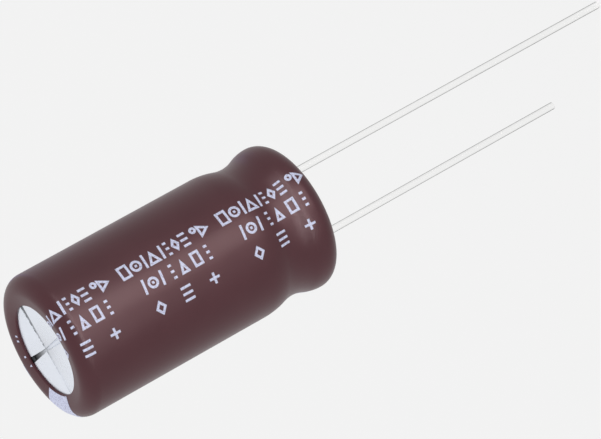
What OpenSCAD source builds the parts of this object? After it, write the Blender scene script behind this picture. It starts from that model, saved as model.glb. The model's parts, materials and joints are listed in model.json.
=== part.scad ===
// Radial aluminium electrolytic capacitor, as it stands on a board.
// The board plane is z = 0: the body rises above it and the two leads run down through it.
// The long positive lead is on +X. The short negative lead and the stripe are on -X.
// All sizes are in millimetres.

/* [Can] */
// Outer diameter of the bare can
can_d = 15.9; // [13:0.1:22]
// Length of the bare can, from its curled rim to its closed end
can_l = 32; // [26:0.5:45]
// Thickness of the can's wall
can_wall = 0.4; // [0.25:0.05:0.6]
// Thickness of the can's closed end
end_t = 0.5; // [0.4:0.05:0.8]
// Outer radius of the corner round the closed end
corner_r = 1.5; // [1.2:0.1:2]
// Depth of the flat end below the top of that corner
dish = 0.3; // [0.1:0.05:0.4]
// Outer radius of the curled rim
curl_r = 1.6; // [1.4:0.1:2.2]
// Angle that the curl turns on past its lowest point, into the seal
curl_turn = 60; // [40:5:75]
// How far the seal end bulges past the straight wall
bulge = 0.1; // [0:0.05:0.2]

/* [Bead] */
// Height of the bead's waist above the rim
bead_z = 5; // [4.4:0.1:6]
// Depth of the bead below the straight wall
bead_depth = 0.6; // [0.3:0.05:0.9]
// Largest radius of the hollow at the waist
waist_r = 5; // [2:0.5:8]
// Height of the long shoulder from the waist up to the straight wall
shoulder_l = 3.9; // [3:0.1:6]

/* [Vent] */
// Width of the two scores that cross on the closed end
score_w = 0.55; // [0.3:0.05:0.8]
// Depth of the scores where they cross
score_mid = 0.06; // [0.02:0.01:0.15]
// Depth of the scores at their ends
score_end = 0.34; // [0.2:0.01:0.36]
// Distance from a score's end to the edge of the flat end
score_margin = 0.25; // [0.15:0.05:0.8]
// Turn of the scores about the axis, from the line through the leads
score_turn = 20; // [0:1:45]

/* [Sleeve] */
// Thickness of the shrunk film on the wall
sleeve_t = 0.13; // [0.08:0.01:0.2]
// Gap drawn between the film and the can
shrink_gap = 0.02; // [0.01:0.01:0.05]
// Thickness of the film's edge on the closed end
lip_t = 0.2; // [0.16:0.01:0.3]
// Width of the film that lies on the flat of the closed end
lip_w = 0.4; // [0.3:0.05:1.5]
// Thickness that the film gathers to under the rim
foot_t = 0.28; // [0.22:0.01:0.4]
// Width of the film that turns in under the rim
foot_w = 0.95; // [0.7:0.05:1.2]
// Width of the flat ring that the body stands on
seat_w = 0.5; // [0.3:0.05:0.6]
// Width of the negative stripe, measured round the sleeve
stripe_w = 5.4; // [3:0.1:8]
// Turn of the stripe about the axis, away from the negative lead
stripe_turn = -11; // [-20:1:20]
// Thickness of the printed ink
ink_t = 0.03; // [0.02:0.01:0.05]

/* [Seal] */
// Thickness of the rubber seal
seal_t = 7; // [5.5:0.1:8]
// Depth of the seal's outer face inside the rim
seal_recess = 0.5; // [0.2:0.05:0.6]
// Gap drawn round the seal and round what passes through it
seal_gap = 0.03; // [0.02:0.01:0.06]

/* [Leads] */
// Distance between the two leads
lead_pitch = 7.5; // [5:0.5:7.5]
// Diameter of the lead wires
lead_d = 0.8; // [0.5:0.1:1]
// Length of the positive lead below the board plane
anode_l = 42.7; // [15:0.1:60]
// Length of the negative lead below the board plane
cathode_l = 33.1; // [12:0.1:50]
// How far the weld between a lead and its tab stands out of the seal's outer face
weld_out = 0.2; // [0.15:0.05:0.3]
// Length of that weld, which widens from the wire up to the tab
weld_l = 1.2; // [0.8:0.1:2]
// Diameter of the weld where it meets the tab
weld_d = 1.3; // [1.1:0.05:1.6]

/* [Tabs] */
// Diameter of the round stem that fills the seal's hole
stem_d = 2.2; // [1.8:0.1:2.4]
// Width of the flattened part of a tab
paddle_w = 2.6; // [2.2:0.1:3.2]
// Thickness of the flattened part
paddle_t = 0.3; // [0.2:0.05:0.5]
// Length of the flattened part inside the winding
paddle_l = 15; // [8:0.5:18]
// Gap drawn between a tab and the turns on either side of it
paddle_gap = 0.04; // [0.02:0.01:0.08]

/* [Winding] */
// Distance from the seal to the winding
winding_rise = 1; // [0.8:0.1:1.6]
// Distance from the winding to the can's closed end
headroom = 0.9; // [0.8:0.1:2]
// Gap between the taped winding and the can
winding_gap = 0.2; // [0.18:0.01:0.28]
// Diameter of the hole left by the winding spindle
core_d = 3; // [2:0.1:3.4]
// Distance from one drawn turn to the next
turn_pitch = 0.9; // [0.7:0.05:1.2]
// Width of the groove drawn between two turns
turn_groove = 0.2; // [0.1:0.05:0.3]
// How far the paper stands past the foil at each end
paper_margin = 0.8; // [0.4:0.1:1.5]
// Thickness of the tape round the winding
tape_t = 0.06; // [0.04:0.01:0.1]
// Width of that tape
tape_w = 16; // [8:0.5:18]
// Angle over which the tape's end lies on its start
tape_lap = 50; // [20:5:90]

/* [Hidden] */
$fn = 96;

// Heights, from the board plane up
rim_z = foot_t + shrink_gap;
curl_z = rim_z + curl_r;
waist_z = rim_z + bead_z;
shoulder_z = waist_z + shoulder_l;
top_z = rim_z + can_l;
disc_z = top_z - dish;
end_z = disc_z - end_t;
lip_z = disc_z + shrink_gap + lip_t;
seal_z = rim_z + seal_recess;
seal_top = seal_z + seal_t;
weld_z = seal_z - weld_out;
stem_z = weld_z + weld_l;
winding_z = seal_top + winding_rise;
winding_top = end_z - headroom;

// Radii, from the axis out
can_r = can_d / 2;
flat_r = can_r - corner_r;
curl_x = can_r + bulge - curl_r;
waist_x = can_r - bead_depth;
film = shrink_gap + sleeve_t;
disc_r = flat_r - corner_r * sin(dish_turn(0));
mouth_r = flat_r - (corner_r + film) * sin(dish_turn(film)) - lip_w;
foot_r = curl_x - foot_w;
winding_r = can_r - can_wall - winding_gap - 2 * tape_t;

// Rounding on the cut edges of the film
film_edge = 0.1;
// Angle on the curl where the stripe starts, beside the ring that the body stands on
stripe_start = -60;
// Gap drawn under the ink
ink_gap = 0.01;
// How far a cutting shape runs past the face that it cuts
past = 1;
// Step of the turns round the winding, in degrees
turn_step = 20;
// Largest share of a flank that the hollow at the waist takes
hollow_share = 0.8;

// Points along an arc round [x, z] from angle a to angle b, without the first one where
// another arc has ended on it
function arc(x, z, r, a, b, steps, first = 1) = [
    for (i = [first : steps])
        let (t = a + (b - a) * i / steps) [x + r * cos(t), z + r * sin(t)]
];

function backwards(points) = [for (i = [len(points) - 1 : -1 : 0]) points[i]];

// The bead's flanks are pairs of arcs, upright at both ends. For a flank that steps in by
// drop over a height of rise, the two radii add up to flank_sum, and the arcs meet at
// flank_turn. The waist's own arc takes up to waist_r of the sum.
function flank_sum(drop, rise) = (rise * rise + drop * drop) / (2 * drop);
function flank_turn(drop, rise) = 2 * atan(drop / rise);
function hollow(drop, rise) = min(waist_r, hollow_share * flank_sum(drop, rise));

// Arcs from the bulge at the seal end up to the waist, moved outwards by t
function lower_flank(t) =
    let (
        drop = bulge + bead_depth,
        rise = waist_z - curl_z,
        turn = flank_turn(drop, rise),
        hollow_r = hollow(drop, rise),
        crown_r = flank_sum(drop, rise) - hollow_r
    )
    concat(
        arc(can_r + bulge - crown_r, curl_z, crown_r + t, 0, turn, steps = 6),
        arc(waist_x + hollow_r, waist_z, hollow_r - t, 180 + turn, 180, steps = 6)
    );

// Arcs from the waist up to the straight wall, moved outwards by t
function upper_flank(t) =
    let (
        turn = flank_turn(bead_depth, shoulder_l),
        hollow_r = hollow(bead_depth, shoulder_l),
        crown_r = flank_sum(bead_depth, shoulder_l) - hollow_r
    )
    concat(
        arc(waist_x + hollow_r, waist_z, hollow_r - t, 180, 180 - turn, steps = 5),
        arc(can_r - crown_r, shoulder_z, crown_r + t, -turn, 0, steps = 7)
    );

// Angle that the corner, moved outwards by t, turns on past its top, down to the flat end
function dish_turn(t) = acos(1 - dish / (corner_r + t));

// Half section of the can's outside, moved outwards by t, from angle start on the curl to
// the inner end of the corner, where the flat end lies at height flat_z
function outline(t, flat_z, start = -90) = concat(
    arc(curl_x, curl_z, curl_r + t, start, 0, steps = 14, first = 0),
    lower_flank(t),
    upper_flank(t),
    arc(
        flat_r, flat_z + dish - corner_r - t, corner_r + t,
        0, 90 + dish_turn(t), steps = 14, first = 0
    )
);

// Half section of the sleeve's outside, moved outwards by t, with its lip on the flat end
function sleeve_outline(t, start = -90) = concat(
    outline(film + t, disc_z + film + t, start),
    [[mouth_r + film_edge, lip_z + t]]
);

// Drawn cup with a beaded waist, its rim curled over the seal, and a scored vent in its end
module can() {
    curl_start = -90 - curl_turn;
    color("gainsboro")
    difference() {
        rotate_extrude()
        polygon(concat(
            outline(0, disc_z, curl_start),
            [[0, disc_z], [0, end_z]],
            backwards(outline(-can_wall, end_z, curl_start))
        ));
        for (turn = [0, 90])
            rotate([0, 0, score_turn + turn])
            vent_score();
    }
}

// One straight score across the closed end, shallow in the middle and deep at both ends
module vent_score() {
    half_l = disc_r - score_margin;
    rotate([90, 0, 0])
    linear_extrude(score_w, center = true)
    polygon([
        [-half_l, top_z], [-half_l, disc_z - score_end], [0, disc_z - score_mid],
        [half_l, disc_z - score_end], [half_l, top_z]
    ]);
}

// Shrunk film that follows the can and turns in over both of its ends
module sleeve() {
    color("#54383a")
    rotate_extrude()
    polygon(concat(
        sleeve_outline(0),
        [[mouth_r, lip_z - film_edge], [mouth_r, disc_z + shrink_gap]],
        backwards(outline(shrink_gap, disc_z + shrink_gap)),
        [
            [foot_r, rim_z - shrink_gap], [foot_r, film_edge],
            [foot_r + film_edge, 0], [foot_r + film_edge + seat_w, 0]
        ]
    ));
}

// Band of ink down the sleeve on the negative side, over the corner and up to the lip's edge
module polarity_stripe() {
    half_angle = stripe_w / 2 / (can_r + film) * 180 / PI;
    reach = 2 * can_r;
    color("#c3c6e0")
    intersection() {
        rotate_extrude()
        polygon(concat(
            sleeve_outline(ink_gap + ink_t, stripe_start),
            backwards(sleeve_outline(ink_gap, stripe_start))
        ));
        rotate([0, 0, stripe_turn])
        linear_extrude(top_z + past)
        polygon([
            [0, 0],
            [-reach * cos(half_angle), reach * sin(half_angle)],
            [-reach * cos(half_angle), -reach * sin(half_angle)]
        ]);
    }
}

// Rubber bung, waisted by the bead and held under the curl. For each lead it has a hole that
// widens with the weld and goes on straight for the tab's stem.
module rubber_seal() {
    side = can_wall + seal_gap;
    // Angle just past the end of the curl, where the rubber passes round the metal
    clear_angle = -90 - curl_turn - seal_gap / (curl_r - can_wall) * 180 / PI;
    neck = [curl_x + curl_r * cos(clear_angle), curl_z + curl_r * sin(clear_angle)];
    color("#26262a")
    difference() {
        intersection() {
            rotate_extrude()
            polygon(concat(
                [[0, seal_z], [neck[0], seal_z], neck],
                outline(-side, end_z - seal_gap, clear_angle),
                [[0, end_z - seal_gap]]
            ));
            cylinder(h = seal_top, r = can_d);
        }
        for (side_x = [-1, 1])
            translate([side_x * lead_pitch / 2, 0, 0]) {
                translate([0, 0, weld_z])
                cylinder(h = weld_l, d1 = lead_d + 2 * seal_gap, d2 = weld_d + 2 * seal_gap);
                translate([0, 0, stem_z])
                cylinder(h = seal_t, d = stem_d + 2 * seal_gap);
            }
    }
}

// Foils and paper rolled on a spindle, with the paper's turns standing out at both ends and
// a pocket between the turns for each tab
module winding() {
    pocket_l = paddle_l + paddle_gap;
    color("#d8cdb4")
    difference() {
        translate([0, 0, winding_z])
        cylinder(h = winding_top - winding_z, r = winding_r);
        translate([0, 0, winding_z - past])
        cylinder(h = winding_top - winding_z + 2 * past, d = core_d);
        for (z = [winding_z - past, winding_top - paper_margin])
            translate([0, 0, z])
            linear_extrude(paper_margin + past)
            turn_spiral();
        for (side_x = [-1, 1])
            translate([
                side_x * lead_pitch / 2 - paddle_t / 2 - paddle_gap,
                -paddle_w / 2 - paddle_gap,
                winding_z - past
            ])
            cube([paddle_t + 2 * paddle_gap, paddle_w + 2 * paddle_gap, pocket_l + past]);
    }
}

// Spiral groove between the turns, from beside the spindle's hole to the outermost turn
module turn_spiral() {
    inner_r = core_d / 2 + turn_pitch / 2;
    turns = floor((winding_r - turn_pitch / 2 - inner_r) / turn_pitch);
    angles = [for (a = [0 : turn_step : turns * 360]) a];
    polygon(concat(
        [for (a = angles) spiral_point(inner_r + turn_groove, a)],
        backwards([for (a = angles) spiral_point(inner_r, a)])
    ));
}

function spiral_point(start_r, a) = (start_r + turn_pitch * a / 360) * [cos(a), sin(a)];

// Tape that holds the winding closed, its end lapped over its start
module winding_tape() {
    middle_z = (winding_z + winding_top) / 2;
    color("#e6d9a8")
    translate([0, 0, middle_z - tape_w / 2]) {
        difference() {
            cylinder(h = tape_w, r = winding_r + tape_t);
            translate([0, 0, -past])
            cylinder(h = tape_w + 2 * past, r = winding_r);
        }
        rotate_extrude(angle = tape_lap)
        translate([winding_r + tape_t, 0])
        square([tape_t, tape_w]);
    }
}

// Aluminium tab: a round stem in the seal, pressed flat where it lies between the turns
module tab(x) {
    color("silver")
    translate([x, 0, 0]) {
        translate([0, 0, stem_z])
        cylinder(h = seal_top - stem_z, d = stem_d);
        tab_shoulder();
        translate([-paddle_t / 2, -paddle_w / 2, winding_z])
        cube([paddle_t, paddle_w, paddle_l]);
    }
}

// The stretch of a tab where the round stem thins and widens into the flat part
module tab_shoulder() {
    intersection() {
        translate([0, 0, seal_top])
        cylinder(h = winding_rise, d1 = stem_d, d2 = paddle_w);
        rotate([90, 0, 0])
        linear_extrude(paddle_w, center = true)
        polygon([
            [-stem_d / 2, seal_top], [stem_d / 2, seal_top],
            [paddle_t / 2, winding_z], [-paddle_t / 2, winding_z]
        ]);
    }
}

// Straight tinned wire, with the weld at its upper end that joins it to the tab
module lead(x, below) {
    color("whitesmoke")
    translate([x, 0, 0]) {
        translate([0, 0, weld_z])
        cylinder(h = weld_l, d1 = lead_d, d2 = weld_d);
        translate([0, 0, -below])
        cylinder(h = below + weld_z, d = lead_d);
    }
}

module anode_tab() {
    tab(lead_pitch / 2);
}

module cathode_tab() {
    tab(-lead_pitch / 2);
}

module anode_lead() {
    lead(lead_pitch / 2, anode_l);
}

module cathode_lead() {
    lead(-lead_pitch / 2, cathode_l);
}

can();
sleeve();
polarity_stripe();
rubber_seal();
winding();
winding_tape();
anode_tab();
cathode_tab();
anode_lead();
cathode_lead();
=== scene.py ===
import json
import math

import bpy
import numpy as np
from mathutils import Matrix, Vector

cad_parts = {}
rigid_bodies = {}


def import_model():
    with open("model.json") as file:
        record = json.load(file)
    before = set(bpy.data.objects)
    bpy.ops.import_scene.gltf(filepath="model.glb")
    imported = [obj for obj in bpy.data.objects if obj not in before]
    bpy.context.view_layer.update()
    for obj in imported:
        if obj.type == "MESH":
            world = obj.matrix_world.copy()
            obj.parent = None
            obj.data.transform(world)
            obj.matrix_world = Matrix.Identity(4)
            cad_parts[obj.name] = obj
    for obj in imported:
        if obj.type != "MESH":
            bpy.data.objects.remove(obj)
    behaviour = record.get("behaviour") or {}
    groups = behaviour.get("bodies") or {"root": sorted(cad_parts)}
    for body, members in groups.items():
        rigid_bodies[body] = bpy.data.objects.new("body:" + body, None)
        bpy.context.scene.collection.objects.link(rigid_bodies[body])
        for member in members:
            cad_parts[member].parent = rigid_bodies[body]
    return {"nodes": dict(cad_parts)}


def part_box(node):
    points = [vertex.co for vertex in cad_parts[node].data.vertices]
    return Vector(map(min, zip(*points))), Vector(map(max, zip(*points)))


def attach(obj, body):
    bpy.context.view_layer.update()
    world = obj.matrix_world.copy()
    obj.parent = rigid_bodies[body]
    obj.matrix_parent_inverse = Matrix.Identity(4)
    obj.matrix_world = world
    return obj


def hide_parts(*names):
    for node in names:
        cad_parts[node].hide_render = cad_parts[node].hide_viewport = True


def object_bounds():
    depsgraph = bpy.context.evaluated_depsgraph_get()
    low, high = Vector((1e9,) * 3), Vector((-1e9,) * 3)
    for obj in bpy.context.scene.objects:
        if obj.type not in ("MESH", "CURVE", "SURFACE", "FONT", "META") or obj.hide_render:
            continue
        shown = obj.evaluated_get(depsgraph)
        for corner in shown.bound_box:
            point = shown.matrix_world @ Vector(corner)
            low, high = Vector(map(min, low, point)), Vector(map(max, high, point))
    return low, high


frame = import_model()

cad_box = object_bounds()
MM = 0.001

# The photographer's place: above the vent end and a little round to the positive side, with a
# long lens, and the camera rolled so that the leads point up to the right of the picture.
photo_width = 601
photo_height = 439
focal_px = 4381
camera_azimuth = math.radians(17.3)
camera_elevation = math.radians(24.5)
camera_roll = math.radians(119.2)
camera_distance = 451.6 * MM
nearest_seen = 0.01
farthest_seen = 20
body_centre = Vector((0, 0, 16.3 * MM))
body_centre_px = (171.0, 280.3)


def direction(azimuth, elevation):
    """The way from the body to a place round it. Azimuth 0 is -Y and 90 degrees is +X."""
    level = math.cos(elevation)
    return Vector((
        math.sin(azimuth) * level, -math.cos(azimuth) * level, math.sin(elevation),
    ))


back = direction(camera_azimuth, camera_elevation)
level_right = Vector((math.cos(camera_azimuth), math.sin(camera_azimuth), 0))
level_up = back.cross(level_right)
right = level_right * math.cos(camera_roll) - level_up * math.sin(camera_roll)
up = back.cross(right)
metres_per_px = camera_distance / focal_px
to_right = (body_centre_px[0] - photo_width / 2) * metres_per_px
to_bottom = (body_centre_px[1] - photo_height / 2) * metres_per_px
camera_place = body_centre + back * camera_distance - right * to_right + up * to_bottom
bpy.ops.object.camera_add()
camera = bpy.context.object
camera.name = "camera"
camera_turn = Matrix((right, up, back)).transposed().to_4x4()
camera.matrix_world = Matrix.Translation(camera_place) @ camera_turn
camera.data.lens = camera.data.sensor_width * focal_px / photo_width
camera.data.clip_start = nearest_seen
camera.data.clip_end = farthest_seen
bpy.context.scene.camera = camera
bpy.context.scene.view_settings.view_transform = "Standard"


# The can is one drawn aluminium cup. Its open rim is rolled in over the seal and a bead is
# pressed round it, and its closed end carries the vent: two crossed scores that are deepest
# at their ends, where the end tears open if the pressure inside rises.
can_low, can_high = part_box("can")
bulge = 0.1 * MM
can_radius = can_high.x - bulge
can_wall = 0.4 * MM
end_thickness = 0.5 * MM
corner_radius = 1.5 * MM
curl_radius = 1.6 * MM
curl_turn = math.radians(60)
waist_height = can_low.z + 5 * MM
bead_depth = 0.6 * MM
waist_radius = 5 * MM
hollow_share = 0.8
shoulder_length = 3.9 * MM
dish = 0.3 * MM
disc_z = can_high.z - dish
curl_centre = (can_high.x - curl_radius, can_low.z + curl_radius)
flat_radius = can_radius - corner_radius
flank_steps = 10
curl_steps = 20
corner_steps = 22
lathe_steps = 180
weld_distance = 0.0002 * MM
level_tolerance = 0.01 * MM


def arc(centre, radius, start, end, steps):
    """Points from angle start to angle end round a centre in the half section."""
    angles = np.linspace(start, end, steps + 1)
    return [(centre[0] + radius * math.cos(a), centre[1] + radius * math.sin(a)) for a in angles]


def flank(outer, waist, offset):
    """Two arcs from an upright tangent on the wall in to the bead's waist, moved outwards."""
    drop = outer[0] - waist[0]
    rise = waist[1] - outer[1]
    radii = (rise * rise + drop * drop) / (2 * drop)
    turn = 2 * math.atan(drop / rise)
    hollow = min(waist_radius, hollow_share * radii)
    crown = radii - hollow
    crown_centre = (outer[0] - crown, outer[1])
    hollow_centre = (waist[0] + hollow, waist[1])
    on_crown = arc(crown_centre, crown + offset, 0, turn, flank_steps)
    in_hollow = arc(hollow_centre, hollow - offset, math.pi + turn, math.pi, flank_steps)
    return on_crown[1:] + in_hollow[1:]


def dish_turn(radius):
    """The angle that a corner of this radius turns on past its top, down to the flat end."""
    return math.acos(1 - dish / radius)


def can_outline(offset, flat_z, start=-math.pi / 2):
    """Half section of the can's outside, from the curl to the flat end, moved outwards."""
    waist = (can_radius - bead_depth, waist_height)
    shoulder_z = waist_height + shoulder_length
    mirrored = flank((can_radius, 2 * waist_height - shoulder_z), waist, offset)
    upper = [(r, 2 * waist_height - z) for r, z in reversed(mirrored)]
    radius = corner_radius + offset
    corner = (flat_radius, flat_z + dish - radius)
    return (
        arc(curl_centre, curl_radius + offset, start, 0, curl_steps)
        + flank((can_high.x, curl_centre[1]), waist, offset)
        + upper[1:] + [(can_radius + offset, shoulder_z)]
        + arc(corner, radius, 0, math.pi / 2 + dish_turn(radius), corner_steps)
    )


def pick(piece, kind, test):
    """Selects the vertices or faces of a piece in edit mode whose place passes a test."""
    bpy.ops.mesh.select_mode(type=kind)
    bpy.ops.mesh.select_all(action="DESELECT")
    bpy.ops.object.mode_set(mode="OBJECT")
    if kind == "VERT":
        for vertex in piece.data.vertices:
            vertex.select = bool(test(vertex.co))
    else:
        for face in piece.data.polygons:
            face.select = bool(test(face.center))
    bpy.ops.object.mode_set(mode="EDIT")


def blank(name):
    """A new piece with an empty mesh, left in edit mode."""
    bpy.ops.object.select_all(action="DESELECT")
    bpy.ops.mesh.primitive_plane_add(size=MM)
    piece = bpy.context.object
    piece.name = name
    bpy.ops.object.mode_set(mode="EDIT")
    bpy.ops.mesh.delete(type="VERT")
    return piece


def draw(points):
    """Draws a line through points in the mesh in edit mode, and leaves it selected."""
    bpy.ops.mesh.select_mode(type="VERT")
    bpy.ops.mesh.select_all(action="DESELECT")
    bpy.ops.mesh.primitive_plane_add(size=MM)
    bpy.ops.mesh.merge(type="CENTER")
    bpy.ops.transform.translate(value=points[0])
    for here, there in zip(points, points[1:]):
        bpy.ops.mesh.extrude_region_move(TRANSFORM_OT_translate={"value": there - here})
    bpy.ops.mesh.select_linked()


def close_shell():
    """Merges the doubles of the mesh in edit mode and turns its faces outwards."""
    bpy.ops.mesh.select_all(action="SELECT")
    bpy.ops.mesh.remove_doubles(threshold=weld_distance)
    bpy.ops.mesh.dissolve_degenerate(threshold=weld_distance / 2)
    bpy.ops.mesh.delete_loose()
    bpy.ops.mesh.select_all(action="SELECT")
    bpy.ops.mesh.normals_make_consistent(inside=False)


def turned(name, outline, steps):
    """A piece turned from a closed half section of (radius, height) points, as on a lathe."""
    piece = blank(name)
    draw([Vector((r, 0, z)) for r, z in outline + outline[:1]])
    bpy.ops.mesh.spin(steps=steps, angle=math.tau, center=(0, 0, 0), axis=(0, 0, 1))
    close_shell()
    bpy.ops.object.mode_set(mode="OBJECT")
    return piece


def choose(piece):
    """Makes a piece the active one and the only one selected."""
    bpy.ops.object.select_all(action="DESELECT")
    piece.select_set(True)
    bpy.context.view_layer.objects.active = piece


def finish_with(piece, kind, **settings):
    """Adds a modifier to a piece with its settings, and applies it."""
    choose(piece)
    modifier = piece.modifiers.new(kind, kind)
    for key, value in settings.items():
        setattr(modifier, key, value)
    bpy.ops.object.modifier_apply(modifier=modifier.name)


def polish(piece, crease):
    """Shades a piece smooth, apart from edges that turn by more than this many degrees."""
    choose(piece)
    bpy.ops.object.shade_smooth_by_angle(angle=math.radians(crease))


curl_start = -math.pi / 2 - curl_turn
can = turned("can_shell", (
    can_outline(0, disc_z, curl_start)
    + [(0, disc_z), (0, disc_z - end_thickness)]
    + can_outline(-can_wall, disc_z - end_thickness, curl_start)[::-1]
), lathe_steps)
bpy.ops.object.mode_set(mode="EDIT")
for flat_z in (disc_z, disc_z - end_thickness):
    pick(can, "FACE", lambda c: abs(c.z - flat_z) < level_tolerance)
    bpy.ops.mesh.dissolve_faces()
bpy.ops.object.mode_set(mode="OBJECT")

score_width = 0.74 * MM
score_mid_share = 0.5
score_floor_share = 0.5
score_mid_depth = 0.06 * MM
score_end_depth = 0.34 * MM
score_end_run = 0.35 * MM
score_end_room = 0.25 * MM
disc_radius = flat_radius - corner_radius * math.sin(dish_turn(corner_radius))
score_reach = disc_radius - score_end_room
score_turn = math.radians(20)
score_edge = 0.03 * MM
score_edge_angle = math.radians(20)
score_clear = 0.02 * MM
can_crease = 25
for quarter in (0, math.pi / 2):
    punch = blank("punch")
    rim_z = disc_z + score_clear
    deep_z = disc_z - score_end_depth
    deep_x = score_reach - score_end_run
    draw([Vector((x, -score_width / 2, z)) for x, z in (
        (-score_reach, rim_z), (-deep_x, deep_z), (0, disc_z - score_mid_depth),
        (deep_x, deep_z), (score_reach, rim_z), (-score_reach, rim_z),
    )])
    bpy.ops.mesh.remove_doubles(threshold=score_clear / 10)
    bpy.ops.mesh.edge_face_add()
    bpy.ops.mesh.extrude_region_move(TRANSFORM_OT_translate={"value": (0, score_width, 0)})
    bpy.ops.mesh.select_all(action="SELECT")
    bpy.ops.mesh.bisect(plane_co=(0, 0, 0), plane_no=(1, 0, 0))
    close_shell()
    pick(punch, "VERT", lambda c: abs(c.x) < score_clear)
    bpy.ops.transform.resize(value=(1, score_mid_share, 1), center_override=(0, 0, 0))
    pick(punch, "VERT", lambda c: c.z < disc_z)
    bpy.ops.transform.resize(value=(1, score_floor_share, 1), center_override=(0, 0, 0))
    bpy.ops.mesh.select_all(action="SELECT")
    bpy.ops.transform.rotate(
        value=-(score_turn + quarter), orient_axis="Z", center_override=(0, 0, 0),
    )
    bpy.ops.object.mode_set(mode="OBJECT")
    finish_with(can, "BOOLEAN", object=punch, operation="DIFFERENCE", solver="EXACT")
    bpy.data.objects.remove(punch)
finish_with(
    can, "BEVEL", width=score_edge, segments=2, limit_method="ANGLE",
    angle_limit=score_edge_angle, use_clamp_overlap=True,
)
polish(can, can_crease)
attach(can, "root")
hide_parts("can")


class Shade:
    """A value in a material, with operators that add the Math nodes for an expression."""

    def __init__(self, socket):
        self.socket = socket

    def node(self, kind, inputs, output=0, **settings):
        """Adds a node with its settings and the values or links of its sockets."""
        tree = self.socket.id_data
        made = tree.nodes.new(kind)
        for name, value in settings.items():
            setattr(made, name, value)
        for name, value in inputs.items():
            if isinstance(value, Shade):
                tree.links.new(value.socket, made.inputs[name])
            else:
                made.inputs[name].default_value = value
        return Shade(made.outputs[output])

    def maths(self, operation, *values):
        """Adds a Math node for one operation on these values."""
        return self.node("ShaderNodeMath", dict(enumerate(values)), operation=operation)

    def __add__(self, other):
        return self.maths("ADD", self, other)

    def __radd__(self, other):
        return self.maths("ADD", other, self)

    def __sub__(self, other):
        return self.maths("SUBTRACT", self, other)

    def __rsub__(self, other):
        return self.maths("SUBTRACT", other, self)

    def __mul__(self, other):
        return self.maths("MULTIPLY", self, other)

    def __rmul__(self, other):
        return self.maths("MULTIPLY", other, self)

    def axis(self, index):
        """One coordinate of this place."""
        return self.node("ShaderNodeSeparateXYZ", {0: self}, output=index)

    def stretched(self, x, y, z):
        """This place with its axes scaled, so that a pattern on it runs along one of them."""
        return self.node("ShaderNodeMapping", {"Vector": self, "Scale": (x, y, z)})

    def step(self, low, high):
        """0 below low and 1 above high, with a smooth step between them."""
        inputs = {"Value": self, "From Min": low, "From Max": high}
        return self.node("ShaderNodeMapRange", inputs, interpolation_type="SMOOTHSTEP")

    def noise(self, spots, detail=3):
        """Noise over this place, from 0 to 1, with spots of about this size in metres."""
        inputs = {"Vector": self, "Scale": 1 / spots, "Detail": detail}
        return self.node("ShaderNodeTexNoise", inputs)

    def tint(self, dark, light):
        """The mix of two colours that this value gives, from 0 to 1."""
        inputs = {0: self, 6: (*dark, 1), 7: (*light, 1)}
        return self.node("ShaderNodeMix", inputs, output=2, data_type="RGBA")

    def bump(self, height):
        """A bumped normal, where 1 stands this height in metres above 0."""
        return self.node("ShaderNodeBump", {"Height": self, "Distance": height})


def new_finish(name, **constants):
    """A material, the place on a piece that its patterns read, and a setter for its shader."""
    material = bpy.data.materials.new(name)
    material.use_nodes = True
    tree = material.node_tree
    shader = tree.nodes["Principled BSDF"]
    for key, value in constants.items():
        shader.inputs[key.replace("_", " ")].default_value = value
    place = Shade(tree.nodes.new("ShaderNodeTexCoord").outputs["Object"])

    def varies(**sockets):
        """Links values to the shader's sockets of these names."""
        for key, value in sockets.items():
            tree.links.new(value.socket, shader.inputs[key.replace("_", " ")])

    return material, place, varies


def dress(piece, material):
    """Gives a piece one material all over."""
    piece.data.materials.clear()
    piece.data.materials.append(material)


# The sheet is bright, with faint lines from its rolling. Shade is painted into the scores,
# darkest on the far side, and as dark dashes along their rims, more of it towards the long lead's
# side.
# The dark end of this mix is painted shade, reached only in and along the scores.
painted_shade_aluminium = (0.03, 0.033, 0.036)
bright_aluminium = (0.88, 0.92, 1.0)
drawn_aluminium, place, varies = new_finish("drawn_aluminium", Metallic=1.0)
rolling_lines = place.stretched(1, 0.03, 1).noise(0.12 * MM, 2)
clouds = place.noise(2.2 * MM)
depth = disc_z - place.axis(2)
in_score = depth.step(0.02 * MM, 0.09 * MM) - depth.step(0.5 * MM, 1 * MM)
score_rim = depth.step(0.004 * MM, 0.012 * MM) - depth.step(0.05 * MM, 0.08 * MM)
far_half = (place.axis(0) * 0.1 + place.axis(1)).step(-2 * MM, 4 * MM)
long_lead_side = place.axis(0).step(-1.5 * MM, 1 * MM)
# Painted shade: dark dashes along the score rims, heavier towards the long lead's side.
rim_dashes = place.noise(0.35 * MM).step(0.35, 0.6)
painted_rim_shade = score_rim * rim_dashes * (0.25 + long_lead_side * 0.55)
# Painted shade: the scores darken by depth, most of all on the far side, plus the painted dashes
# on their rims.
painted_score_shade = in_score * far_half * 0.88 + painted_rim_shade
shine = 0.84 + clouds * 0.11 + rolling_lines * 0.07 - painted_score_shade
varies(
    Base_Color=shine.tint(painted_shade_aluminium, bright_aluminium),
    Roughness=0.22 + clouds * 0.12 + in_score * 0.15,
    Normal=rolling_lines.bump(0.0015 * MM),
)
dress(can, drawn_aluminium)


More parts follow.
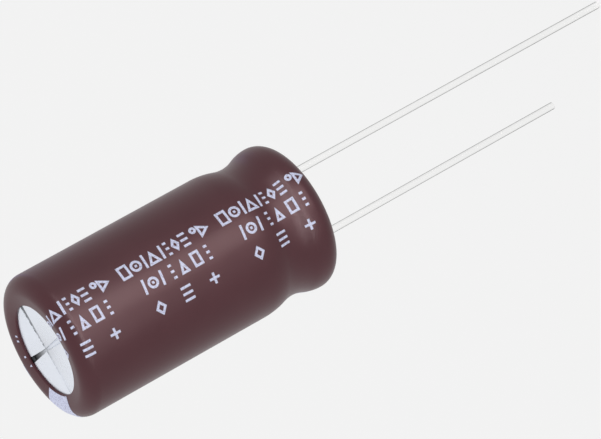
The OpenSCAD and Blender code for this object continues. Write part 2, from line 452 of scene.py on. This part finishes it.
# The sleeve is a tube of brown film, slipped over the can and shrunk on by heat. It follows
# the bead and turns in over both ends, where it gathers into a thicker lip, and the bare end
# of the can shows inside the upper one.
sleeve_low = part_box("sleeve")[0]
film_gap = 0.02 * MM
film = 0.15 * MM
film_edge = 0.1 * MM
film_corner = corner_radius + film
lip_height = 0.27 * MM
lip_z = disc_z + film_gap + lip_height
slope_inset = 0.25 * MM
slope_start = flat_radius - slope_inset
lip_start = flat_radius - film_corner * math.sin(dish_turn(film_corner))
lip_width = 0.4 * MM
mouth_radius = lip_start - lip_width
foot_width = 0.95 * MM
foot_radius = curl_centre[0] - foot_width
seat_width = 0.5 * MM
lip_wave = 0.08 * MM
wave_size = 2.5 * MM
edge_steps = 4
film_crease = 40
film_dark = (0.074, 0.0235, 0.0295)
film_light = (0.086, 0.0285, 0.0355)


def sleeve_outline(offset, start=-math.pi / 2):
    """Half section of the sleeve's outside, moved outwards. It leaves the can's corner just
    past the top and slopes gently down to the edge of the lip."""
    on_can = [
        point for point in can_outline(film + offset, disc_z + film + offset, start)
        if point[0] > slope_start
    ]
    lip = (mouth_radius + film_edge, lip_z + offset)
    middle = ((on_can[-1][0] + lip[0]) / 2, (on_can[-1][1] + lip[1]) / 2)
    return on_can + [middle, lip]


waves = bpy.data.textures.new("lip_waves", "CLOUDS")
waves.noise_scale = wave_size


def let_down(piece):
    """Lowers the upper lip of the film, and what is printed on it, in slow waves."""
    lip = piece.vertex_groups.new(name="lip")
    for vertex in piece.data.vertices:
        inwards = 1 - (vertex.co.xy.length - mouth_radius) / (lip_start - mouth_radius)
        if vertex.co.z > disc_z + film_gap * 2 and inwards > 0:
            lip.add([vertex.index], min(1, inwards), "REPLACE")
    finish_with(
        piece, "DISPLACE", texture=waves, texture_coords="LOCAL", direction="Z",
        strength=lip_wave, mid_level=1.0, vertex_group="lip",
    )


mouth_edge_centre = (mouth_radius + film_edge, lip_z - film_edge)
mouth_edge = arc(mouth_edge_centre, film_edge, math.pi / 2, math.pi, edge_steps)
foot_edge_centre = (foot_radius + film_edge, sleeve_low.z + film_edge)
foot_edge = arc(foot_edge_centre, film_edge, math.pi, 1.5 * math.pi, edge_steps)
sleeve = turned("sleeve_film", (
    sleeve_outline(0) + mouth_edge[1:] + [(mouth_radius, disc_z + film_gap)]
    + can_outline(film_gap, disc_z + film_gap)[::-1]
    + [(foot_radius, can_low.z - film_gap)] + foot_edge
    + [(foot_radius + film_edge + seat_width, sleeve_low.z)]
), lathe_steps)
let_down(sleeve)
polish(sleeve, film_crease)
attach(sleeve, "root")
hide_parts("sleeve")

film_finish, place, varies = new_finish("film_finish", IOR=1.5, Specular_IOR_Level=0.21)
pulled = place.stretched(1, 1, 0.15).noise(1.1 * MM)
mottled = place.noise(3.5 * MM)
grain = place.noise(0.25 * MM, 2)
varies(
    Base_Color=mottled.tint(film_dark, film_light),
    Roughness=0.28 + mottled * 0.08 + grain * 0.06,
    Normal=(pulled * 0.7 + grain * 0.3).bump(0.006 * MM),
)
dress(sleeve, film_finish)


# The print is pale ink, laid on the flat tube before it shrinks, so it turns in over the
# ends with the film. A block of three rows repeats along the body, on the front and on the
# back: outlines, strokes, dots and crosses that spell nothing.
wall_radius = can_radius + film
ink_height = 0.025 * MM
ink_gap = 0.004 * MM
repeat_length = 12.4 * MM
mark_height = 1.62 * MM
stroke = 0.27 * MM
ring_corners = 16
mark_cuts = 3
back_turn = 166
back_shift = 8.95 * MM
speck_angles = (78, 84, 103)
speck_size = 0.3 * MM
ink_thin = (0.32, 0.32, 0.45)
ink_full = (0.66, 0.69, 0.88)

# Each row has its angle round the body in degrees. Each mark has its kind, the height of its
# upper side on the body and its width, both in millimetres.
rows = (
    (-51.3, (
        ("box", 24.1, 1.2), ("target", 22.7, 1.3), ("slant", 21.2, 0.4), ("wedge", 20.75, 1.5),
        ("slant", 19.05, 0.4), ("dots", 18.3, 0.4), ("diamond", 17.65, 1.0),
        ("stack", 16.45, 0.85), ("ring", 15.1, 0.8), ("arrow", 14.25, 1.3),
    )),
    (-68.0, (
        ("slant", 22.8, 0.5), ("target", 22.1, 1.25), ("slant", 20.6, 0.5), ("dots", 19.25, 0.4),
        ("wedge", 18.3, 1.1), ("box", 16.6, 1.1), ("dots", 14.8, 0.4),
    )),
    (-86.8, (("diamond", 22.6, 1.3), ("stack", 19.2, 1.2), ("cross", 15.85, 1.2))),
)

# Corners go from 0 to 1 down the body and from -1 to 1 across the row.
outlines = {
    "box": ((0, -1), (1, -1), (1, 1), (0, 1)),
    "wedge": ((0, -1), (1, -1), (0.5, 1)),
    "diamond": ((0, 0), (0.5, -1), (1, 0), (0.5, 1)),
    "arrow": ((0, -1), (1, 0), (0, 1)),
}


def round_wall(degrees):
    """The way round the sleeve's wall that an angle takes."""
    return math.radians(degrees) * wall_radius


def ink_bar(x, y, width, height):
    """Adds a flat stroke to the mesh in edit mode."""
    bpy.ops.mesh.select_all(action="DESELECT")
    bpy.ops.mesh.primitive_plane_add(size=1)
    bpy.ops.transform.resize(value=(width, height, 1))
    bpy.ops.transform.translate(value=(x, y, 0))


def ink_outline(corners):
    """Adds the outline of a flat shape with these corners to the mesh in edit mode."""
    draw(corners + corners[:1])
    bpy.ops.mesh.remove_doubles(threshold=ink_gap)
    bpy.ops.mesh.edge_face_add()
    bpy.ops.mesh.inset(thickness=stroke)
    bpy.ops.mesh.delete(type="FACE")


def add_mark(kind, left, middle, width):
    """Adds one mark, from its left side and the middle of its row."""
    centre = left + width / 2
    reach = (mark_height - stroke) / 2
    if kind in outlines:
        ink_outline([
            Vector((left + x * width, middle + y * mark_height / 2, 0)) for x, y in outlines[kind]
        ])
    if kind in ("target", "ring"):
        radius = width / 2
        y = middle + (mark_height / 2 - radius if kind == "ring" else 0)
        round_it = arc((centre, y), radius, 0, math.tau, ring_corners)[:-1]
        ink_outline([Vector((*corner, 0)) for corner in round_it])
    if kind == "target":
        ink_bar(centre, middle, stroke, stroke)
    if kind == "slant":
        ink_bar(0, 0, stroke, mark_height)
        lean = math.atan((width - stroke) / mark_height)
        bpy.ops.transform.rotate(value=lean, orient_axis="Z", center_override=(0, 0, 0))
        bpy.ops.transform.translate(value=(centre, middle, 0))
    if kind in ("dots", "stack"):
        for y in (-reach, 0, reach):
            ink_bar(centre, middle + y, width, stroke)
    if kind == "cross":
        arm = (width - stroke) / 2
        ink_bar(centre, middle, stroke, width)
        ink_bar(left + arm / 2, middle, arm, stroke)
        ink_bar(left + width - arm / 2, middle, arm, stroke)


path_start = math.radians(-75)
path_low = np.array(sleeve_outline(ink_gap, path_start))
path_high = np.array(sleeve_outline(ink_gap + ink_height, path_start))
path_length = np.concatenate([[0], np.cumsum(np.hypot(*np.diff(path_low, axis=0).T))])
wall_point = int(np.argmax(path_low[:, 1] > waist_height + shoulder_length))
path_length += path_low[wall_point, 1] - path_length[wall_point]
print_start = path_length[0]
print_end = path_length[-1]


def wrap(piece):
    """Lays flat ink on the sleeve: its -x runs up the body and its y runs round it, both
    measured along the film, and its z goes from the film outwards."""
    for vertex in piece.data.vertices:
        low = [np.interp(-vertex.co.x, path_length, path_low[:, i]) for i in (0, 1)]
        high = [np.interp(-vertex.co.x, path_length, path_high[:, i]) for i in (0, 1)]
        share = vertex.co.z / ink_height
        radius, height = (a + (b - a) * share for a, b in zip(low, high))
        angle = vertex.co.y / wall_radius
        vertex.co = (radius * math.cos(angle), radius * math.sin(angle), height)
    let_down(piece)


def trim(edge, side):
    """Cuts off what the flat ink in edit mode has past an edge across it."""
    bpy.ops.mesh.select_all(action="SELECT")
    bpy.ops.mesh.bisect(plane_co=(edge, 0, 0), plane_no=(side, 0, 0), clear_outer=True)


def thicken():
    """Gives the flat ink in edit mode its height."""
    bpy.ops.mesh.select_all(action="SELECT")
    bpy.ops.mesh.delete_loose()
    bpy.ops.mesh.select_all(action="SELECT")
    bpy.ops.mesh.normals_make_consistent(inside=False)
    bpy.ops.mesh.extrude_region_move(TRANSFORM_OT_translate={"value": (0, 0, ink_height)})
    bpy.ops.mesh.select_all(action="SELECT")
    bpy.ops.mesh.normals_make_consistent(inside=False)
    bpy.ops.object.mode_set(mode="OBJECT")


marks = blank("print_marks")
for angle, row in rows:
    for kind, top, width in row:
        add_mark(kind, -top * MM, round_wall(angle), width * MM)
bpy.ops.mesh.select_all(action="SELECT")
bpy.ops.mesh.subdivide(number_cuts=mark_cuts)
bpy.ops.mesh.duplicate_move(TRANSFORM_OT_translate={"value": (repeat_length, 0, 0)})
bpy.ops.mesh.duplicate_move(TRANSFORM_OT_translate={"value": (-2 * repeat_length, 0, 0)})
bpy.ops.mesh.select_all(action="SELECT")
bpy.ops.mesh.duplicate_move(
    TRANSFORM_OT_translate={"value": (-back_shift, round_wall(back_turn), 0)},
)
for angle in speck_angles:
    ink_bar(speck_size - print_end, round_wall(angle), speck_size, speck_size)
trim(-print_start, 1)
trim(-print_end, -1)
thicken()
wrap(marks)
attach(marks, "root")

ink_finish, place, varies = new_finish("ink_finish", IOR=1.45, Specular_IOR_Level=0.3)
specks = place.noise(0.15 * MM)
varies(
    Base_Color=specks.step(0.25, 0.55).tint(ink_thin, ink_full),
    Roughness=0.4 + specks * 0.2,
)
dress(marks, ink_finish)


# The negative side carries a broad stripe of the same ink from the rim to the lip. Short
# minus bars are left open in it, where the brown film shows through.
stripe_width = 5.4 * MM
minus_length = 2.6 * MM
minus_width = 0.7 * MM
minus_tops = (25 * MM, 17 * MM, 9 * MM)
stripe_cuts = 60
stripe_angle = 169
stripe_y = round_wall(stripe_angle)
stripe = blank("stripe_ink")
bpy.ops.mesh.primitive_plane_add(size=1)
bpy.ops.transform.resize(value=(print_end - print_start, stripe_width, 1))
bpy.ops.transform.translate(value=(-(print_end + print_start) / 2, stripe_y, 0))
bpy.ops.mesh.subdivide(number_cuts=stripe_cuts)
for edge in (stripe_y - minus_width / 2, stripe_y + minus_width / 2):
    bpy.ops.mesh.select_all(action="SELECT")
    bpy.ops.mesh.bisect(plane_co=(0, edge, 0), plane_no=(0, 1, 0))
for top in minus_tops:
    for edge in (-top, minus_length - top):
        bpy.ops.mesh.select_all(action="SELECT")
        bpy.ops.mesh.bisect(plane_co=(edge, 0, 0), plane_no=(1, 0, 0))
pick(stripe, "FACE", lambda c: abs(c.y - stripe_y) < minus_width / 2 and any(
    -top < c.x < minus_length - top for top in minus_tops
))
bpy.ops.mesh.delete(type="FACE")
thicken()
wrap(stripe)
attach(stripe, "root")
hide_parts("polarity_stripe")
dress(stripe, ink_finish)


# The seal is a moulded rubber bung, held by the bead and the curled rim. Between the rim and
# the two wires its outer face shows, and the wires' welds stand a little out of it.
rubber_black = (0.012, 0.012, 0.013)
rubber_bloomed = (0.028, 0.028, 0.030)
rubber_finish, place, varies = new_finish("rubber_finish", IOR=1.5, Specular_IOR_Level=0.35)
pores = place.noise(0.35 * MM, 4)
bloom = place.noise(2 * MM)
varies(
    Base_Color=bloom.tint(rubber_black, rubber_bloomed),
    Roughness=0.5 + pores * 0.3,
    Normal=pores.bump(0.02 * MM),
)
dress(frame["nodes"]["rubber_seal"], rubber_finish)


# Inside lies the roll of aluminium foil and paper, soaked with electrolyte and held by a turn
# of clear tape. The paper stands out past the foil at both ends.
paper_dark = (0.50, 0.42, 0.29)
paper_light = (0.72, 0.64, 0.48)
damp_paper, place, varies = new_finish("damp_paper", IOR=1.4)
fibres = place.noise(0.15 * MM, 4)
varies(
    Base_Color=fibres.tint(paper_dark, paper_light),
    Roughness=0.5 + fibres * 0.4,
    Normal=fibres.bump(0.01 * MM),
)
dress(frame["nodes"]["winding"], damp_paper)

tape_dark = (0.66, 0.55, 0.28)
tape_light = (0.80, 0.70, 0.42)
clear_tape, place, varies = new_finish("clear_tape", IOR=1.5)
ripples = place.stretched(1, 1, 4).noise(1.2 * MM, 2)
varies(
    Base_Color=ripples.tint(tape_dark, tape_light),
    Roughness=0.18 + ripples * 0.15,
    Normal=ripples.bump(0.01 * MM),
)
dress(frame["nodes"]["winding_tape"], clear_tape)


# The tabs are aluminium wire, pressed flat where they lie between the turns of the roll. Their
# round stems fill the two holes of the seal and carry the leads.
etched_dark = (0.62, 0.63, 0.64)
etched_light = (0.80, 0.80, 0.81)
etched_aluminium, place, varies = new_finish("etched_aluminium", Metallic=1.0)
etch = place.noise(0.25 * MM, 4)
varies(
    Base_Color=etch.tint(etched_dark, etched_light),
    Roughness=0.4 + etch * 0.25,
)
for name in ("anode_tab", "cathode_tab"):
    dress(frame["nodes"][name], etched_aluminium)


# The leads are steel wire plated with copper and tin, drawn straight, butt-welded to the tabs
# and cut to two lengths with shears: the long one is positive.
wire_radius = 0.4 * MM
weld_radius = 0.65 * MM
weld_height = 1.2 * MM
wire_sides = 32
cut_slant = 0.14
cut_edge = 0.05 * MM
cut_edge_angle = math.radians(40)
wire_crease = 35
tin_dull = (0.96, 0.96, 0.955)
tin_bright = (1, 1, 0.995)
leads = []
for name in ("anode_lead", "cathode_lead"):
    lead_low, lead_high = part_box(name)
    middle = (lead_low.x + lead_high.x) / 2
    wire = turned(name + "_wire", [
        (0, lead_low.z), (wire_radius, lead_low.z), (wire_radius, lead_high.z - weld_height),
        (weld_radius, lead_high.z), (0, lead_high.z),
    ], wire_sides)
    bpy.ops.object.mode_set(mode="EDIT")
    bpy.ops.mesh.select_all(action="SELECT")
    bpy.ops.mesh.bisect(
        plane_co=(wire_radius, 0, lead_low.z), plane_no=(-cut_slant, 0, -1),
        use_fill=True, clear_outer=True,
    )
    bpy.ops.mesh.select_all(action="SELECT")
    bpy.ops.transform.translate(value=(middle, 0, 0))
    bpy.ops.object.mode_set(mode="OBJECT")
    finish_with(
        wire, "BEVEL", width=cut_edge, segments=3, limit_method="ANGLE",
        angle_limit=cut_edge_angle, use_clamp_overlap=True,
    )
    polish(wire, wire_crease)
    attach(wire, "root")
    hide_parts(name)
    leads.append(wire)

bright_tin, place, varies = new_finish(
    "bright_tin", Metallic=1.0, Specular_Tint=(0.15, 0.15, 0.15, 1),
)
die_lines = place.stretched(1, 1, 0.01).noise(0.07 * MM, 2)
dulling = place.noise(2.5 * MM)
varies(
    Base_Color=dulling.tint(tin_dull, tin_bright),
    Roughness=0.08 + dulling * 0.1,
    Normal=die_lines.bump(0.0015 * MM),
)
for wire in leads:
    dress(wire, bright_tin)


# The object stands on the tip of its longer lead over a plain pale floor, in even light from
# a pale room and a soft fill lamp. Four more lamps give no diffuse light: they only make the
# reflections on the film and the metal.
room_grey = 0.888
floor_white = 0.8
floor_roughness = 0.9
floor_own_share = 0.25
floor_size = 16
floor = blank("floor")
bpy.ops.mesh.primitive_plane_add(size=floor_size)
bpy.ops.transform.translate(value=(0, 0, cad_box[0].z))
bpy.ops.object.mode_set(mode="OBJECT")

floor_paint = bpy.data.materials.new("floor_paint")
floor_paint.use_nodes = True
tree = floor_paint.node_tree
lit = tree.nodes["Principled BSDF"]
lit.inputs["Base Color"].default_value = (floor_white, floor_white, floor_white, 1)
lit.inputs["Roughness"].default_value = floor_roughness
lit.inputs["Specular IOR Level"].default_value = 0
rays = tree.nodes.new("ShaderNodeLightPath")
camera_ray = Shade(rays.outputs["Is Camera Ray"])
glossy_ray = Shade(rays.outputs["Is Glossy Ray"])
through_ray = Shade(rays.outputs["Is Transmission Ray"])
seen = camera_ray.maths("MAXIMUM", camera_ray, glossy_ray)
seen = seen.maths("MAXIMUM", seen, through_ray)
glow = (room_grey - floor_own_share * floor_white * room_grey) / (1 - floor_own_share)
even = seen.node("ShaderNodeEmission", {"Color": (1, 1, 1, 1), "Strength": glow})
mixed = seen.node("ShaderNodeMixShader", {
    0: seen * (1 - floor_own_share),
    1: Shade(lit.outputs[0]),
    2: even,
})
tree.links.new(mixed.socket, tree.nodes["Material Output"].inputs["Surface"])
dress(floor, floor_paint)

room = bpy.data.worlds.new("room")
bpy.context.scene.world = room
room.use_nodes = True
room_light = room.node_tree.nodes["Background"]
room_light.inputs["Color"].default_value = (1, 1, 1, 1)
room_light.inputs["Strength"].default_value = room_grey


def soft_lamp(name, azimuth, elevation, distance, width, height, brightness, colour):
    """A rectangular lamp aimed at the body, from a place given in degrees. Its brightness is
    that of its surface, so its power grows with its size."""
    towards = direction(math.radians(azimuth), math.radians(elevation))
    bpy.ops.object.light_add(type="AREA")
    lamp = bpy.context.object
    lamp.name = name
    lamp.data.shape = "RECTANGLE"
    lamp.data.size = width
    lamp.data.size_y = height
    lamp.data.energy = brightness * math.pi * width * height
    lamp.location = body_centre + towards * distance
    lamp.rotation_mode = "QUATERNION"
    lamp.rotation_quaternion = towards.to_track_quat("Z", "Y")
    lamp.data.color = colour
    lamp.visible_camera = False
    return lamp


soft_lamp("fill", -10, 15, 600 * MM, 500 * MM, 400 * MM, 0.45, (1, 1, 1))
for lamp in (
    soft_lamp("low_strip", 30, -22, 95 * MM, 50 * MM, 46 * MM, 6.9, (1, 0.88, 0.86)),
    soft_lamp("low_wing", -5, -22, 95 * MM, 50 * MM, 46 * MM, 0.9, (1, 0.8, 0.8)),
    soft_lamp("front_band", 25, 3.3, 100 * MM, 230 * MM, 12 * MM, 23, (1, 0.9, 0.9)),
    soft_lamp("cool_side", 160, -24, 250 * MM, 240 * MM, 120 * MM, 1.1, (0.3, 0.25, 1)),
):
    lamp.visible_diffuse = False
